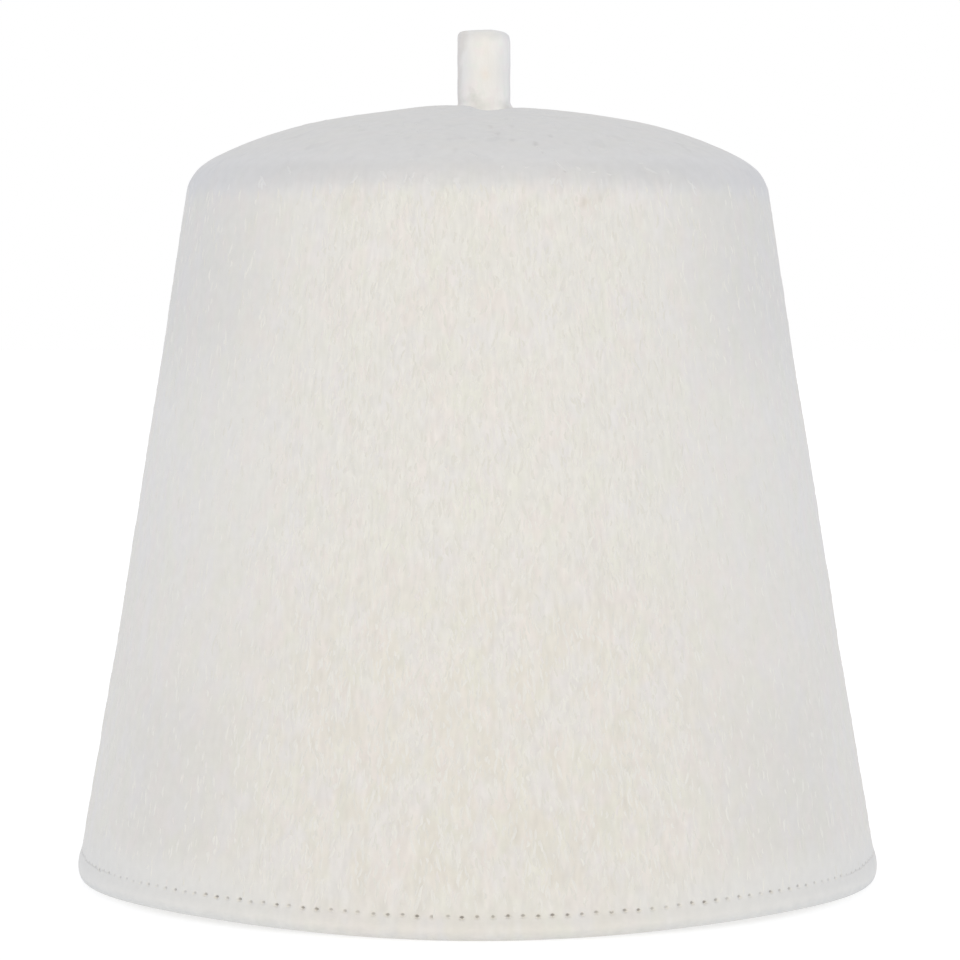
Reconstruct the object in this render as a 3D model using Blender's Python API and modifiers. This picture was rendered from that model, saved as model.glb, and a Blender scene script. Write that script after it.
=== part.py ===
"""A plain cream felt fez: one blocked felt cap with a turned-in hem, and a short felt stalk on its crown.

Units are metres and +Z is up. The front faces -Y. The origin is the centre of the hem's foot, on the
plane that the fez rests on. Angles are in degrees, and an elevation is how far the felt's outward
normal points above the horizon.
"""

import math
from typing import NamedTuple

import bpy

# Cap
FELT = 0.0024                 # thickness of one layer of felt
FOOT_RADIUS = 0.09467         # outer edge of the narrow flat that the hem rests on
FOOT_ELEVATION = -90.0        # the flat faces straight down
CROWN_ELEVATION = 90.0        # the middle of the crown faces straight up
CROWN_PIECES = 4              # straight pieces that draw the middle of the crown
CAP_SIDES = 72

# Turned-in hem
LAP_ABOVE_GROOVE = 0.0042     # how far the raw edge of the lap stands above the stitched groove
LAP_FOLD_RADIUS = 0.0010      # rounding under the inner edge of the fold
LAP_EDGE_RADIUS = 0.0006      # rounding of the raw edge
LAP_FOLD_PIECES = 3
LAP_EDGE_PIECES = 2

# Stalk
STALK_RADIUS = 0.0064
STALK_HEIGHT = 0.0183         # from the top of the crown
STALK_OFFSET = 0.00145        # sewn on a little to the wearer's left of the crown's middle
STALK_TOP_RADIUS = 0.0014     # rounding of the top edge
STALK_FLARE = 0.0009          # how far the sewn foot spreads past the side
STALK_FLARE_HEIGHT = 0.0016
STALK_FOOT_EDGE = 0.0003      # thickness left at the rim of the spread foot
STALK_ROUNDING_PIECES = 4
STALK_SEAT_PIECES = 3
STALK_SIDES = 28
SEAT_GAP = 0.0003             # clearance between the stalk and the crown

MERGE_DISTANCE = 0.00001


class Band(NamedTuple):
    """One stretch of the cap's outer section, an arc that starts where the band below it ended."""

    name: str
    length: float             # along the felt
    elevation: float          # of the outward normal at the band's upper end
    pieces: int               # straight pieces that draw the arc


HEM_BANDS = (
    Band("fold", 0.0029, -15.0, 3),
    Band("roll", 0.0042, 22.0, 3),
    Band("stitched groove", 0.0019, 9.9, 2),
)

BODY_BANDS = (
    Band("wall", 0.1601, 8.65, 4),
    Band("shoulder", 0.0075, 51.6, 5),
    Band("upper shoulder", 0.0051, 64.3, 2),
    Band("crown slope", 0.0275, 79.7, 3),
)


class SectionPoint(NamedTuple):
    """A point of a section, at a radius and a height, with the elevation of the surface there."""

    radius: float
    height: float
    elevation: float


class Finish(NamedTuple):
    """The plain look of a sub-part."""

    name: str
    colour: tuple
    roughness: float
    metallic: float


CAP_FELT = Finish("cream_wool_felt", (0.79, 0.765, 0.71), 0.95, 0.0)
STALK_FELT = Finish("pale_wool_felt", (0.81, 0.79, 0.75), 0.95, 0.0)


def offset(point, distance):
    """The point moved outwards along its normal, or inwards if the distance is negative."""
    slope = math.radians(point.elevation)
    return SectionPoint(
        point.radius + distance * math.cos(slope),
        point.height + distance * math.sin(slope),
        point.elevation,
    )


def along(point, distance):
    """The point moved up the surface in a straight line."""
    slope = math.radians(point.elevation)
    return SectionPoint(
        point.radius - distance * math.sin(slope),
        point.height + distance * math.cos(slope),
        point.elevation,
    )


def arc(start, radius, elevation, pieces):
    """The points after start on an arc that turns the normal to the given elevation."""
    centre = offset(start, -radius)
    step = (elevation - start.elevation) / pieces
    turns = (start.elevation + step * count for count in range(1, pieces + 1))
    return [offset(SectionPoint(centre.radius, centre.height, turn), radius) for turn in turns]


def band_points(start, bands):
    """The points of a chain of bands, start included."""
    points = [start]
    for band in bands:
        turn = math.radians(band.elevation - points[-1].elevation)
        points += arc(points[-1], band.length / turn, band.elevation, band.pieces)
    return points


def crown_radius(edge):
    """The radius of the arc that closes the crown on the axis, tangent to the slope at its edge."""
    return edge.radius / math.cos(math.radians(edge.elevation))


def outer_section():
    """The outside of the cap from its foot to the middle of the crown, and where its wall starts."""
    foot = SectionPoint(FOOT_RADIUS, 0.0, FOOT_ELEVATION)
    hem = band_points(foot, HEM_BANDS)
    body = band_points(hem[-1], BODY_BANDS)
    crown = arc(body[-1], crown_radius(body[-1]), CROWN_ELEVATION, CROWN_PIECES)
    return hem[:-1], body + crown


def lap_section(groove):
    """The turned-in lap from the foot's inner edge up to where its raw edge meets the wall."""
    face_low = offset(groove, -2 * FELT)
    inward = groove.elevation - 180.0
    rounding_low = SectionPoint(0.0, 0.0, inward)
    reach = offset(rounding_low, LAP_FOLD_RADIUS)
    drop = (face_low.height - LAP_FOLD_RADIUS - reach.height) / math.cos(math.radians(groove.elevation))
    face_start = along(face_low, -drop)
    foot_inner = SectionPoint(face_start.radius - reach.radius, 0.0, FOOT_ELEVATION)
    fold = arc(foot_inner, LAP_FOLD_RADIUS, inward, LAP_FOLD_PIECES)
    face_top = along(face_low, LAP_ABOVE_GROOVE - LAP_EDGE_RADIUS)
    edge_start = SectionPoint(face_top.radius, face_top.height, inward)
    edge = arc(edge_start, LAP_EDGE_RADIUS, inward - 90.0, LAP_EDGE_PIECES)
    meeting = offset(along(groove, LAP_ABOVE_GROOVE), -FELT)
    return [foot_inner, *fold, edge_start, *edge, meeting]


def cap_outline():
    """The cap's closed section from the top of the crown down the outside and back up the inside."""
    hem, body = outer_section()
    lap = lap_section(body[0])
    inside = [offset(point, -FELT) for point in body[1:]]
    outside = list(reversed(hem + body))
    return [(point.radius, point.height) for point in outside + lap + inside]


def crown_top():
    """The middle of the crown's outside and the radius of the arc there."""
    _, body = outer_section()
    edge = body[-1 - CROWN_PIECES]
    return body[-1].height, crown_radius(edge)


def stalk_outline():
    """The stalk's section from the middle of its top down its side and along its hollowed seat."""
    crown_height, dome = crown_top()
    top = crown_height + STALK_HEIGHT
    rounding_start = SectionPoint(STALK_RADIUS - STALK_TOP_RADIUS, top, CROWN_ELEVATION)
    rounding = arc(rounding_start, STALK_TOP_RADIUS, 0.0, STALK_ROUNDING_PIECES)
    foot_radius = STALK_RADIUS + STALK_FLARE

    def seat(radius):
        return crown_height + SEAT_GAP - radius * radius / (2 * dome)

    flare = []
    for count in range(STALK_ROUNDING_PIECES + 1):
        share = count / STALK_ROUNDING_PIECES
        spread = STALK_FLARE * share * share
        height = seat(foot_radius) + STALK_FOOT_EDGE + STALK_FLARE_HEIGHT * (1 - share)
        flare.append((STALK_RADIUS + spread, height))
    underside = []
    for count in range(STALK_SEAT_PIECES + 1):
        radius = foot_radius * (1 - count / STALK_SEAT_PIECES)
        underside.append((radius, seat(radius)))
    upper = [(0.0, top)] + [(point.radius, point.height) for point in [rounding_start, *rounding]]
    return upper + flare + underside


def felt_material(finish):
    """A matt Principled material in the finish's colour."""
    material = bpy.data.materials.new(finish.name)
    material.use_nodes = True
    shader = material.node_tree.nodes["Principled BSDF"]
    shader.inputs["Base Color"].default_value = (*finish.colour, 1.0)
    shader.inputs["Roughness"].default_value = finish.roughness
    shader.inputs["Metallic"].default_value = finish.metallic
    return material


def turned(name, outline, sides, finish, collection):
    """An object whose outline, a list of radius and height, is turned round the upright axis."""
    corners = [(radius, 0.0, height) for radius, height in outline]
    edges = [(low, low + 1) for low in range(len(corners) - 1)]
    mesh = bpy.data.meshes.new(name)
    mesh.from_pydata(corners, edges, [])
    mesh.materials.append(felt_material(finish))
    piece = bpy.data.objects.new(name, mesh)
    collection.objects.link(piece)
    screw = piece.modifiers.new("Turn", "SCREW")
    screw.steps = sides
    screw.render_steps = sides
    screw.use_merge_vertices = True
    screw.merge_threshold = MERGE_DISTANCE
    screw.use_smooth_shade = True
    return piece


def main():
    """Clears the scene and builds the fez."""
    for leftover in list(bpy.data.objects):
        bpy.data.objects.remove(leftover)
    fez = bpy.data.collections.new("fez")
    bpy.context.scene.collection.children.link(fez)
    turned("felt_cap", cap_outline(), CAP_SIDES, CAP_FELT, fez)
    stalk = turned("stalk", stalk_outline(), STALK_SIDES, STALK_FELT, fez)
    stalk.location.x = STALK_OFFSET


main()
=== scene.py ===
"""The looks of a plain cream felt fez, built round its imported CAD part.

The cap gets a fine felt surface, its hem a row of sunk stitches, its crown a soft stalk, and the wall
a nap of loose fibre locks. Units are metres and +Z is up. The front faces -Y. An elevation is how far
a surface's outward normal points above the horizon, in degrees. A bearing is an angle round the cap,
in degrees from the front towards +X.
"""

import logging
import math
from dataclasses import dataclass, field
from enum import Enum
from typing import Sequence, Union

import bpy
import numpy as np
from mathutils import Matrix


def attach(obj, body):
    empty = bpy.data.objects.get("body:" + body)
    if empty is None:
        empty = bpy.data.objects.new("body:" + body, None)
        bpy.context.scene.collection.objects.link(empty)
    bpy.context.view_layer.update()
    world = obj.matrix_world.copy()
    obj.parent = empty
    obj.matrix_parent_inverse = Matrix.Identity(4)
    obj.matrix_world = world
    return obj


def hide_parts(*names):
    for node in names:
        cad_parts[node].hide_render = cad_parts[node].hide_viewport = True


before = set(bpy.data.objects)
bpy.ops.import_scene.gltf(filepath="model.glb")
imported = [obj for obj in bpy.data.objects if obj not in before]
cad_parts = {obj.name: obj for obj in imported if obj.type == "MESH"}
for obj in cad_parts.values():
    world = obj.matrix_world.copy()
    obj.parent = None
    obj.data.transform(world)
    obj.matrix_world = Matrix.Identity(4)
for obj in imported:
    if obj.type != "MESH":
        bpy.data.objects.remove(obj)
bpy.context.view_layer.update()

LOG = logging.getLogger("fez")
MM = 0.001
BAKE_MAP = "OFBake"
MERGE_DISTANCE = 1e-6
AXIS_CLEARANCE = 0.1 * MM
SOFT_GLOSS = 0.2
WHITE = (1.0, 1.0, 1.0)
MAP_BATCH = 4096


class Slot(Enum):
    """The record's material slots."""

    CAP = "cap_felt"
    STALK = "stalk_felt"
    THREAD = "hem_thread"


class Draw(Enum):
    """The random draws, each with the seed that keeps it apart from the others."""

    HOLE_ACROSS = 1.0
    HOLE_UP = 2.0
    HOLE_DEPTH = 3.0
    KNUCKLE = 4.0
    LOCK_SWING = 5.0
    LOCK_SWING_BACK = 6.0
    LOCK_LENGTH = 7.0
    LOCK_WIDTH = 8.0
    LOCK_SHAPE = 9.0
    LOCK_TINT = 10.0


class Wire:
    """A number or vector that a node socket carries; arithmetic on it adds Math nodes to its tree."""

    def __init__(self, graph: "Graph", socket: bpy.types.NodeSocket) -> None:
        """Keeps the graph that the socket belongs to.

        Args:
            graph: the writer that adds the nodes.
            socket: the output socket that carries the value.
        """
        self.graph = graph
        self.socket = socket

    def __add__(self, other: "Value") -> "Wire":
        """The sum of the two values."""
        return self.graph.math("ADD", self, other)

    __radd__ = __add__

    def __sub__(self, other: "Value") -> "Wire":
        """This value less the other."""
        return self.graph.math("SUBTRACT", self, other)

    def __rsub__(self, other: "Value") -> "Wire":
        """The other value less this one."""
        return self.graph.math("SUBTRACT", other, self)

    def __mul__(self, other: "Value") -> "Wire":
        """The product of the two values."""
        return self.graph.math("MULTIPLY", self, other)

    __rmul__ = __mul__

    def __truediv__(self, other: "Value") -> "Wire":
        """This value divided by the other."""
        return self.graph.math("DIVIDE", self, other)

    def __pow__(self, other: "Value") -> "Wire":
        """This value raised to the other."""
        return self.graph.math("POWER", self, other)

    def __abs__(self) -> "Wire":
        """This value without its sign."""
        return self.graph.math("ABSOLUTE", self)


Value = Union[float, Sequence[float], Wire]
Colour = tuple[float, float, float]
Span = tuple[float, ...]


@dataclass(frozen=True)
class Bearings:
    """A place on the cap as wires, with its distance and direction from the axis.

    Away is how far round to a side it lies, from 0 in front and behind to 1.
    """

    graph: "Graph"
    place: Wire
    x: Wire
    y: Wire
    z: Wire
    radius: Wire
    sine: Wire
    cosine: Wire
    away: Wire
    sine_squared: Wire
    cosine_squared: Wire


class Graph:
    """Writes nodes and links into one node tree."""

    def __init__(self, tree: bpy.types.NodeTree) -> None:
        """Keeps the tree that the nodes go in.

        Args:
            tree: a shader or geometry node tree.
        """
        self.tree = tree

    @classmethod
    def for_geometry(cls, name: str) -> tuple["Graph", Wire]:
        """Starts a geometry tree with one mesh in and one mesh out.

        Args:
            name: the tree's name.

        Returns:
            The graph and the wire of the incoming geometry.
        """
        tree = bpy.data.node_groups.new(name, "GeometryNodeTree")
        for way in ("INPUT", "OUTPUT"):
            tree.interface.new_socket("Geometry", in_out=way, socket_type="NodeSocketGeometry")
        graph = cls(tree)
        return graph, graph.take(graph.node("NodeGroupInput"))

    def node(self, kind: str, inputs: dict[str, Value] | None = None, **settings: object) -> bpy.types.Node:
        """Adds a node.

        Args:
            kind: the node's type name.
            inputs: values or wires for its sockets, by socket name.
            settings: the node's own properties.

        Returns:
            The new node.
        """
        made = self.tree.nodes.new(kind)
        for name, value in settings.items():
            setattr(made, name, value)
        for name, value in (inputs or {}).items():
            self.feed(next(s for s in made.inputs if s.name == name and s.enabled), value)
        return made

    def take(self, node: bpy.types.Node, output: str | int = 0) -> Wire:
        """The wire of a node's output, by name or place.

        Args:
            node: the node.
            output: the output's name, or its place among those that are in use.

        Returns:
            The wire.
        """
        if isinstance(output, str):
            return Wire(self, next(s for s in node.outputs if s.name == output and s.enabled))
        return Wire(self, [s for s in node.outputs if s.enabled][output])

    def feed(self, socket: bpy.types.NodeSocket, value: Value) -> None:
        """Links a wire to a socket, or sets the socket's own value.

        Args:
            socket: the input socket.
            value: a wire, a number or a vector.
        """
        if isinstance(value, Wire):
            self.tree.links.new(value.socket, socket)
        else:
            socket.default_value = value

    def given(self, kind: str) -> Wire:
        """What a geometry tree is given for each point, such as its Position, Normal or Index."""
        return self.take(self.node(f"GeometryNodeInput{kind}"))

    def moved(self, geometry: Wire, place: Wire) -> Wire:
        """The geometry with each vertex at a new place."""
        return self.take(self.node("GeometryNodeSetPosition", {"Geometry": geometry, "Position": place}))

    def stored(self, geometry: Wire, name: str, value: Wire, domain: str, kind: str = "FLOAT") -> Wire:
        """The geometry with a value stored under a name for each element of a domain."""
        inputs = {"Geometry": geometry, "Name": name, "Value": value}
        return self.take(self.node("GeometryNodeStoreNamedAttribute", inputs, data_type=kind, domain=domain))

    def recalled(self, name: str) -> Wire:
        """The number that was stored under a name."""
        return self.take(self.node("GeometryNodeInputNamedAttribute", {"Name": name}, data_type="FLOAT"))

    def math(self, operation: str, *values: Value) -> Wire:
        """A Math node on one, two or three numbers.

        Args:
            operation: what it works out.
            values: the numbers.

        Returns:
            The result's wire.
        """
        made = self.node("ShaderNodeMath", operation=operation)
        for socket, value in zip(made.inputs, values):
            self.feed(socket, value)
        return self.take(made)

    def vector(self, operation: str, *values: Value) -> Wire:
        """A Vector Math node, whose result is a vector or, for a length or product, a number.

        Args:
            operation: what it works out.
            values: the vectors.

        Returns:
            The result's wire.
        """
        made = self.node("ShaderNodeVectorMath", operation=operation)
        for socket, value in zip([s for s in made.inputs if s.type == "VECTOR"], values):
            self.feed(socket, value)
        return self.take(made)

    def scaled(self, vector: Wire, factor: Value) -> Wire:
        """A vector times a number."""
        made = self.node("ShaderNodeVectorMath", {"Vector": vector, "Scale": factor}, operation="SCALE")
        return self.take(made)

    def combine(self, x: Value, y: Value, z: Value) -> Wire:
        """A vector from three numbers."""
        return self.take(self.node("ShaderNodeCombineXYZ", {"X": x, "Y": y, "Z": z}))

    def separate(self, vector: Wire) -> tuple[Wire, Wire, Wire]:
        """The three numbers of a vector."""
        made = self.node("ShaderNodeSeparateXYZ", {"Vector": vector})
        return self.take(made, "X"), self.take(made, "Y"), self.take(made, "Z")

    def remap(self, value: Wire, low: float, high: float, at_low: Value = 0.0, at_high: Value = 1.0,
              smooth: bool = True) -> Wire:
        """Maps a number from one range to another and holds it there.

        Args:
            value: the number.
            low: the value that gives at_low.
            high: the value that gives at_high.
            at_low: the result at low and below.
            at_high: the result at high and above.
            smooth: eases in and out instead of running straight.

        Returns:
            The mapped number.
        """
        inputs = {"Value": value, "From Min": low, "From Max": high, "To Min": at_low, "To Max": at_high}
        kind = "SMOOTHSTEP" if smooth else "LINEAR"
        return self.take(self.node("ShaderNodeMapRange", inputs, interpolation_type=kind))

    def span(self, value: Wire, ends: Span) -> Wire:
        """A share that eases from 0 to 1 between two ends and, with four, back to 0 between the others."""
        share = self.remap(value, *ends[:2])
        return share if len(ends) == 2 else share * self.remap(value, ends[3], ends[2])

    def noise(self, place: Wire, grain: float, detail: float = 2.0) -> Wire:
        """Noise from 0 to 1 whose lumps are about grain metres across."""
        inputs = {"Vector": place, "Scale": 1.0 / grain, "Detail": detail}
        return self.take(self.node("ShaderNodeTexNoise", inputs), 0)

    def wobble(self, place: Wire, grain: float, size: float, detail: float = 2.0) -> Wire:
        """Noise to either side of nothing, over a range of size, with lumps about grain across."""
        return (self.noise(place, grain, detail) - 0.5) * size

    def noise_vector(self, place: Wire, grain: float) -> Wire:
        """Noise in three directions, from about -0.5 to 0.5 each, with lumps grain metres across.

        Args:
            place: where it is read.
            grain: the size of its lumps.

        Returns:
            The vector's wire.
        """
        inputs = {"Vector": place, "Scale": 1.0 / grain, "Detail": 1.0}
        made = self.node("ShaderNodeTexNoise", inputs)
        return self.vector("SUBTRACT", self.take(made, "Color"), (0.5, 0.5, 0.5))

    def far(self, place: Wire, middle: Sequence[float], squash: Sequence[float]) -> Wire:
        """How far a place lies from a middle, with each direction counted squash times."""
        offset = self.vector("MULTIPLY", self.vector("SUBTRACT", place, middle), squash)
        return self.vector("LENGTH", offset)

    def spot(self, place: Wire, middle: Sequence[float], reach: float, ragged: Value = 0.0,
             squash: Sequence[float] = (1.0, 1.0, 1.0)) -> Wire:
        """How deep a place lies in a soft round spot.

        Args:
            place: the place.
            middle: the spot's middle.
            reach: how far the spot goes from its middle.
            ragged: what frays its edge, added to the distance.
            squash: how many times each direction is counted.

        Returns:
            A share from 0 outside the spot to 1 in its middle.
        """
        return self.remap(self.far(place, middle, squash) + ragged, reach, 0.0)

    def chance(self, number: Wire, draw: Draw) -> Wire:
        """A random number from 0 to 1 that depends only on the given number and draw.

        Args:
            number: what the draw is for, such as a hole's number.
            draw: which draw it is.

        Returns:
            The number.
        """
        place = self.combine(number, draw.value, 0.0)
        made = self.node("ShaderNodeTexWhiteNoise", {"Vector": place}, noise_dimensions="2D")
        return self.take(made, "Value")

    def jitter(self, number: Wire, draw: Draw, size: float) -> Wire:
        """A random number to either side of nothing, over a range of size."""
        return (self.chance(number, draw) - 0.5) * size

    def mix(self, share: Value, first: Value, second: Value, blend: str = "MIX") -> Wire:
        """Mixes two colours.

        Args:
            share: how much of the second shows.
            first: the colour underneath.
            second: the colour on top.
            blend: how the second is laid on the first.

        Returns:
            The mixed colour.
        """
        made = self.node("ShaderNodeMix", data_type="RGBA", blend_type=blend)
        for name, value in (("Factor", share), ("A", opaque(first)), ("B", opaque(second))):
            self.feed(next(s for s in made.inputs if s.name == name and s.enabled), value)
        return self.take(made, "Result")

    def shaded(self, colour: Wire, shade: Wire) -> Wire:
        """A colour with each channel times a shade."""
        return self.mix(1.0, colour, self.combine(shade, shade, shade), "MULTIPLY")

    def bearings(self, place: Wire) -> Bearings:
        """Works out how a place lies round the cap's axis.

        Args:
            place: a position in the frame.

        Returns:
            Its coordinates, its radius, and the sine and cosine of its bearing.
        """
        x, y, z = self.separate(place)
        radius = self.math("MAXIMUM", self.math("SQRT", x * x + y * y), AXIS_CLEARANCE)
        sine = x / radius
        cosine = (y * -1.0) / radius
        return Bearings(self, place, x, y, z, radius, sine, cosine, abs(sine), sine * sine, cosine * cosine)


def mm(*values: float) -> Span:
    """Millimetres as metres."""
    return tuple(value * MM for value in values)


def opaque(colour: Value) -> Value:
    """A plain colour with full alpha; a wire stays as it is."""
    return colour if isinstance(colour, Wire) else (*colour[:3], 1.0)


def multiplied(colour: Sequence[float], factors: Sequence[float]) -> tuple[float, ...]:
    """A colour times a factor for each channel."""
    return tuple(part * factor for part, factor in zip(colour, factors))


def deselect_all() -> None:
    """Leaves every object unselected, the frame's own nodes among them."""
    bpy.ops.object.select_all(action="DESELECT")


def only(piece: bpy.types.Object) -> bpy.types.Object:
    """Makes a piece the one selected and active object.

    Args:
        piece: the object.

    Returns:
        The same piece.
    """
    deselect_all()
    piece.select_set(True)
    bpy.context.view_layer.objects.active = piece
    return piece


def apply_nodes(piece: bpy.types.Object, graph: Graph, result: Wire) -> None:
    """Ends a geometry tree, runs it on a piece and keeps the result as its mesh.

    Args:
        piece: the object to change.
        graph: the geometry tree's writer.
        result: the geometry that the tree gives out.
    """
    graph.node("NodeGroupOutput", {"Geometry": result})
    only(piece)
    modifier = piece.modifiers.new(graph.tree.name, "NODES")
    modifier.node_group = graph.tree
    bpy.ops.object.modifier_apply(modifier=modifier.name)
    bpy.data.node_groups.remove(graph.tree)


def vertex_places(piece: bpy.types.Object) -> np.ndarray:
    """The places of a piece's vertices, one row each.

    Args:
        piece: the object.

    Returns:
        The places.
    """
    places = np.empty(len(piece.data.vertices) * 3, np.float32)
    piece.data.vertices.foreach_get("co", places)
    return places.reshape(-1, 3)


def select_edges(piece: bpy.types.Object, chosen: np.ndarray) -> None:
    """Selects just the chosen edges of a mesh, for the next edit.

    Args:
        piece: the object, in object mode.
        chosen: one truth value for each edge.
    """
    mesh = piece.data
    mesh.polygons.foreach_set("select", np.zeros(len(mesh.polygons), bool))
    ends = np.empty(len(mesh.edges) * 2, np.int32)
    mesh.edges.foreach_get("vertices", ends)
    marked = np.zeros(len(mesh.vertices), bool)
    marked[ends.reshape(-1, 2)[chosen].ravel()] = True
    mesh.vertices.foreach_set("select", marked)
    mesh.edges.foreach_set("select", chosen)


def triangles(piece: bpy.types.Object) -> int:
    """How many triangles a mesh makes.

    Args:
        piece: the object.

    Returns:
        The count.
    """
    sides = np.empty(len(piece.data.polygons), np.int32)
    piece.data.polygons.foreach_get("loop_total", sides)
    return int((sides - 2).sum())


@dataclass(frozen=True)
class SectionPoint:
    """A point of a turned section, at a radius and a height, with the surface's elevation there."""

    radius: float
    height: float
    elevation: float

    def offset(self, distance: float) -> "SectionPoint":
        """The point moved outwards along its normal, or inwards if the distance is negative.

        Args:
            distance: how far.

        Returns:
            The new point.
        """
        slope = math.radians(self.elevation)
        radius = self.radius + distance * math.cos(slope)
        return SectionPoint(radius, self.height + distance * math.sin(slope), self.elevation)

    def along(self, distance: float) -> "SectionPoint":
        """The point moved up the surface in a straight line.

        Args:
            distance: how far.

        Returns:
            The new point.
        """
        slope = math.radians(self.elevation)
        radius = self.radius - distance * math.sin(slope)
        return SectionPoint(radius, self.height + distance * math.cos(slope), self.elevation)

    def arc(self, radius: float, elevation: float, length: float, step: float) -> list["SectionPoint"]:
        """The points after this one on an arc that turns the normal to an elevation.

        Args:
            radius: the arc's radius, negative where the surface is hollow.
            elevation: the elevation at the arc's end.
            length: the arc's length.
            step: the longest stretch between two points.

        Returns:
            The points, without this one.
        """
        pieces = max(1, math.ceil(abs(length) / step))
        centre = self.offset(-radius)
        turns = np.linspace(self.elevation, elevation, pieces + 1)[1:]
        return [SectionPoint(centre.radius, centre.height, float(turn)).offset(radius) for turn in turns]


@dataclass(frozen=True)
class Band:
    """One stretch of the cap's outer section, an arc that starts where the band below it ended."""

    name: str
    length: float
    elevation: float
    step: float


@dataclass(frozen=True)
class StitchLine:
    """The row of needle holes on the hem, and how the hem rises and falls round the cap."""

    count: int = 182
    front_height: float = 5.35 * MM
    side_rise: float = 1.9 * MM
    side_sharpness: float = 8.0
    hem_lift: float = 1.25 * MM
    unevenness: float = 0.35 * MM

    def lift(self, sine_squared: Value, cosine_squared: Value) -> Value:
        """How far the hem rises off a level surface; it is most on the diagonals."""
        return sine_squared * cosine_squared * (4.0 * self.hem_lift)

    def height(self, sine_squared: Value, cosine_squared: Value) -> Value:
        """The height of the needle holes at a bearing.

        Args:
            sine_squared: the square of the bearing's sine, as a number or a wire.
            cosine_squared: the square of its cosine, of the same kind.

        Returns:
            The height above the surface that the cap rests on.
        """
        rise = (sine_squared**self.side_sharpness) * self.side_rise
        return self.lift(sine_squared, cosine_squared) + rise + self.front_height

    def openness(self, at: Bearings) -> Wire:
        """How open the holes are at a place, from 1 in front and behind to less at the cap's sides."""
        return at.graph.remap(at.away, 0.50, 0.88, 1.0, 0.42)

    def slips(self, graph: Graph, number: Wire) -> tuple[Wire, Wire]:
        """How far a hole lies off its even place, round the hem and upwards."""
        across = graph.jitter(number, Draw.HOLE_ACROSS, self.unevenness)
        return across, graph.jitter(number, Draw.HOLE_UP, self.unevenness)


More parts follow.
